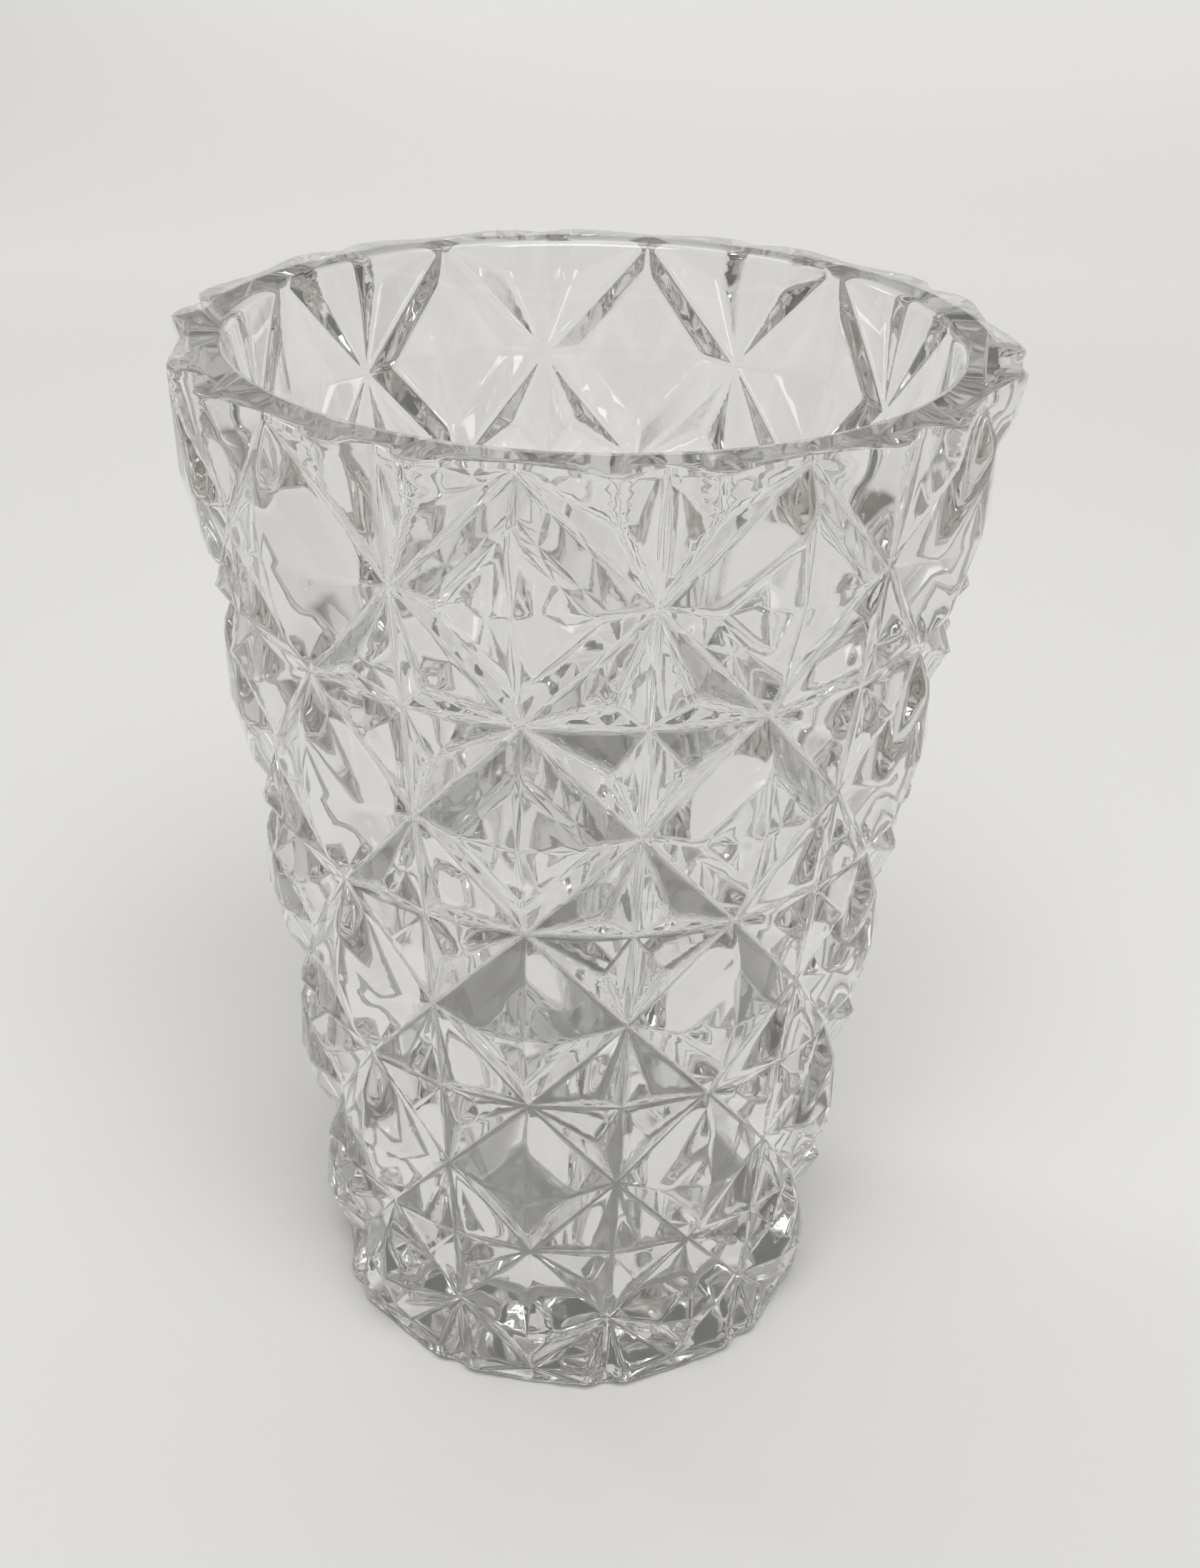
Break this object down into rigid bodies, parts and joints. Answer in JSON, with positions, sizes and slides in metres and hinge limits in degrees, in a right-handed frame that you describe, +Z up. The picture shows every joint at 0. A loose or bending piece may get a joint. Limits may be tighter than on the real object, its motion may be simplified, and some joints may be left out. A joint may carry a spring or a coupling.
{
  "type": "cut crystal vase",
  "caption": "Tall tapered clear crystal vase, thick walled and open at the top, with deep diagonal cuts that leave a net of buttons and stars.",
  "frame": {"origin": "centre of the foot, in the plane that the vase stands on", "axes": "+Z up along the axis of the vase, +X through the middle of a crossed diamond"},
  "size_m": [0.1694, 0.1672, 0.229],
  "materials": {
    "crystal": "clear, fire polished, with a faint grey green cast"
  },
  "bodies": {
    "root": {"crystal_vase": "crystal"}
  },
  "joints": []
}
